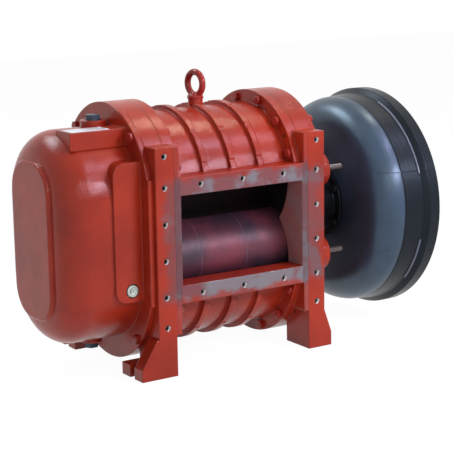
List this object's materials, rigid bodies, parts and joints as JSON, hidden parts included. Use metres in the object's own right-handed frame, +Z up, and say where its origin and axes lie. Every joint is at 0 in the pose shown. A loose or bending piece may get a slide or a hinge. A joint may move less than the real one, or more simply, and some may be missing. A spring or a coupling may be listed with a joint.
{
  "type": "roots vacuum pump",
  "caption": "Two-lobe rotary blower pump: ribbed twin-bore casing, flanged square-bar ports, deep gear cover, slotted feet, lifting eye and a round hood at the drive end.",
  "frame": {"origin": "middle of the bounding box, in the plane of the soles of the feet", "axes": "+X along the rotor shafts towards the drive end, +Y from the front port to the rear port, +Z up"},
  "size_m": [0.876, 0.502, 0.605],
  "materials": {
    "red_casing_paint": "semi-gloss paint over cast iron",
    "red_gear_plate_paint": "semi-gloss paint over cast iron, thin on the machined faces",
    "red_drive_plate_paint": "semi-gloss paint over cast iron, thin on the machined faces",
    "red_cover_paint": "semi-gloss paint over cast iron",
    "red_drive_cover_paint": "semi-gloss paint over cast iron",
    "red_bolt_paint": "painted steel bolt heads",
    "red_cover_bolt_paint": "painted steel bolt heads",
    "red_eye_paint": "painted forged steel",
    "black_guard": "satin moulded plastic",
    "black_band": "satin moulded plastic",
    "neck_paint": "black paint over machined iron",
    "pin_steel": "hardened, oiled",
    "rotor_iron": "machined cast iron with a thin oil film",
    "cap_iron": "machined",
    "bearing_steel": "ground",
    "gear_steel": "ground tooth flanks, oiled",
    "nut_steel": "plain machined",
    "disc_steel": "plain sheet steel, oiled",
    "shaft_steel": "ground",
    "stud_steel": "plain threaded steel",
    "screw_steel": "blackened",
    "seal_rubber": "matt",
    "plug_zinc": "zinc plated",
    "plug_paint": "dark blue-grey",
    "plate_aluminium": "bare, blank"
  },
  "bodies": {
    "housing": {"casing": "red_casing_paint", "gear_end_plate": "red_gear_plate_paint", "drive_end_plate": "red_drive_plate_paint", "gear_cover": "red_cover_paint", "drive_cover": "red_drive_cover_paint", "drive_guard": "black_guard", "bearing_outer_rings": "bearing_steel", "bearing_caps": "cap_iron", "shaft_seals": "seal_rubber", "input_shaft_seal": "seal_rubber", "gear_end_bolts": "red_bolt_paint", "drive_end_bolts": "red_bolt_paint", "gear_cover_bolts": "red_cover_bolt_paint", "drive_cover_bolts": "red_cover_bolt_paint", "drive_studs": "stud_steel", "guard_screws": "screw_steel", "guard_neck": "neck_paint", "guard_band": "black_band", "hood_screws": "screw_steel", "dowel_pins": "pin_steel", "eye_bolt": "red_eye_paint", "oil_sight_glass": "plug_zinc", "filler_plug": "plug_paint", "drain_plug": "plug_paint", "nameplate": "plate_aluminium"},
    "lower_rotor_set": {"lower_rotor": "rotor_iron", "lower_timing_gear": "gear_steel", "lower_gear_nut": "nut_steel", "oil_splash_disc": "disc_steel", "lower_bearing_inner_rings": "bearing_steel", "drive_pinion": "gear_steel", "pinion_nut": "nut_steel"},
    "upper_rotor_set": {"upper_rotor": "rotor_iron", "upper_timing_gear": "gear_steel", "upper_gear_nut": "nut_steel", "upper_bearing_inner_rings": "bearing_steel"},
    "input_set": {"input_shaft": "shaft_steel", "input_gear": "gear_steel", "input_bearing_inner_rings": "bearing_steel"}
  },
  "joints": [
    {"name": "lower_rotor_spin", "type": "hinge", "parent": "housing", "child": "lower_rotor_set", "pos_m": [-0.043, 0, 0.189], "axis": [1, 0, 0], "continuous": true},
    {"name": "upper_rotor_spin", "type": "hinge", "parent": "housing", "child": "upper_rotor_set", "pos_m": [-0.043, 0, 0.371], "axis": [1, 0, 0], "continuous": true},
    {"name": "input_spin", "type": "hinge", "parent": "housing", "child": "input_set", "pos_m": [-0.043, 0, 0.28], "axis": [1, 0, 0], "continuous": true}
  ],
  "couplings": [
    {"joint": "upper_rotor_spin", "follows": "lower_rotor_spin", "ratio": -1},
    {"joint": "input_spin", "follows": "lower_rotor_spin", "ratio": -0.73333}
  ]
}
